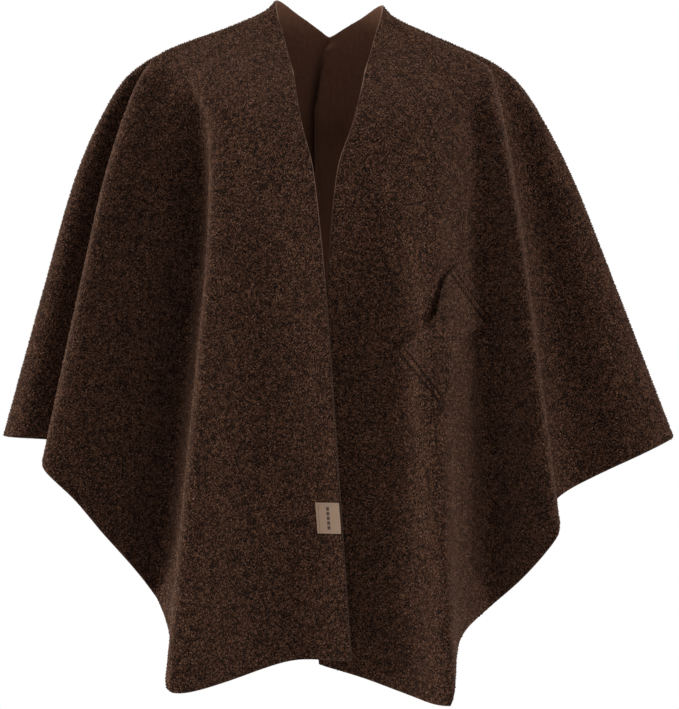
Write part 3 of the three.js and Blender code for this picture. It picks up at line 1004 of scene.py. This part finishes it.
def mark_piled(cloth):
    """Writes 1 on the outside faces of a cloth, and 0 elsewhere, under the label and along the bare lines."""
    faces = cloth.data.polygons
    centres = np.empty(len(faces) * 3)
    faces.foreach_get("center", centres)
    centres = centres.reshape(-1, 3)
    sides = np.empty(len(faces), dtype=int)
    faces.foreach_get("material_index", sides)
    label_places = mesh_places(label_tape.data)
    inside = (centres > label_places.min(axis=0)) & (centres < label_places.max(axis=0))
    bare = inside[:, 0] & inside[:, 2]
    for line, width in BARE_LINES.get(cloth.name, []):
        nearness = trough(centres[:, 0] / MM, centres[:, 2] / MM, line, 1.0, width)
        bare |= nearness > LEAST_NEARNESS
    on_front_face = centres[:, 1] < 0
    piled = (sides == OUTSIDE) & ~(bare & on_front_face)
    attribute = cloth.data.attributes.new("piled", "FLOAT", "FACE")
    attribute.data.foreach_set("value", piled.astype(float))
    print(cloth.name, "pile on", round(float(piled.mean()), 2), "of its faces")


for cloth in cloths.values():
    mark_piled(cloth)

# %% [markdown]
# The scattered curls are made real and joined, front and back of each half apart, because one piece of them
# all would be too large. Each curl keeps its own tone, which of its corners stand up, and a cell of its own
# in the map that the colours are baked to.

# %% The curly pile
# A cell of the bake map holds the flanks in its left half and the underside in its right one
CELL_LEFT, CELL_BOTTOM = 0.05, 0.08
FLAT_WIDTH, FLAT_HEIGHT = 0.42, 0.84
TO_RIGHT_HALF = 0.5
PILE_PARTS = {
    "right_half": ["right_pile_front", "right_pile_back"],
    "left_half": ["left_pile_front", "left_pile_back"],
    "tuck": ["tuck_pile"],
}


def curl_cell():
    """The flattened curl in one cell of the bake map, a row for each corner of each face."""
    flat = CURL_CORNERS[:, :2] - CURL_CORNERS[:, :2].min(axis=0)
    flat = flat / flat.max(axis=0) * (FLAT_WIDTH, FLAT_HEIGHT) + (CELL_LEFT, CELL_BOTTOM)
    cell = flat[CURL_FACES]
    cell[UNDERSIDE, :, 0] += TO_RIGHT_HALF
    return cell.reshape(-1, 2)


def curl_mesh(name, corners, tones):
    """Joins curls into one mesh, each with its tone, its rise and its own cell of the bake map."""
    count, each = len(corners), len(CURL_CORNERS)
    faces = (np.array(CURL_FACES)[None] + np.arange(count)[:, None, None] * each).reshape(-1, 3)
    mesh = bpy.data.meshes.new(name)
    mesh.from_pydata(corners.reshape(-1, 3), [], faces)
    mesh.polygons.foreach_set("use_smooth", np.ones(len(faces), dtype=bool))
    rise = (CURL_CORNERS[:, 2] > 0).astype(float)
    corner_values = {"curl_tone": np.repeat(tones, each), "curl_rise": np.tile(rise, count)}
    for attribute, values in corner_values.items():
        mesh.attributes.new(attribute, "FLOAT", "POINT").data.foreach_set("value", values)
    cells = math.ceil(math.sqrt(count))
    cell_corners = np.stack([np.arange(count) % cells, np.arange(count) // cells], axis=1)
    atlas = (cell_corners[:, None] + curl_cell()[None]) / cells
    mesh.uv_layers.new(name="OFBake").data.foreach_set("uv", atlas.ravel())
    mesh.materials.append(CURL)
    return mesh


def grow_pile(cloth, parts, dice):
    """Scatters curls over the cloth and joins them in as many pieces as there are names."""
    template = bpy.data.meshes.new("curl")
    template.from_pydata(CURL_CORNERS * MM, [], CURL_FACES)
    curl = bpy.data.objects.new("curl", template)
    carrier = new_object(cloth.name + "_carrier", cloth.data.copy())
    carrier.modifiers.new("scatter", "NODES").node_group = scatter_tree(curl)
    applied(carrier)
    corners = mesh_places(carrier.data).reshape(-1, len(CURL_CORNERS), 3)
    bpy.data.objects.remove(carrier)
    bpy.data.objects.remove(curl)
    order = np.argsort(corners[:, :, 1].mean(axis=1), kind="stable")
    pieces = []
    for name, share in zip(parts, np.array_split(order, len(parts))):
        pieces.append(new_object(name, curl_mesh(name, corners[share], dice.random(len(share)))))
        print(name, len(share), "curls")
    return pieces


dice = np.random.default_rng(CURL_SEED)
piles = {name: grow_pile(cloths[name], parts, dice) for name, parts in PILE_PARTS.items()}

# %% [markdown]
# Every piece belongs to the one body of the model and takes the place of the imported solid that it dresses.

# %% Hand over
for name, cloth in cloths.items():
    for piece in [cloth, *piles[name]]:
        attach(piece, "root")
        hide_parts(PANELS[name][0])
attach(stitching, "root")
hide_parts("tuck_band")
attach(label_tape, "root")
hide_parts("label")
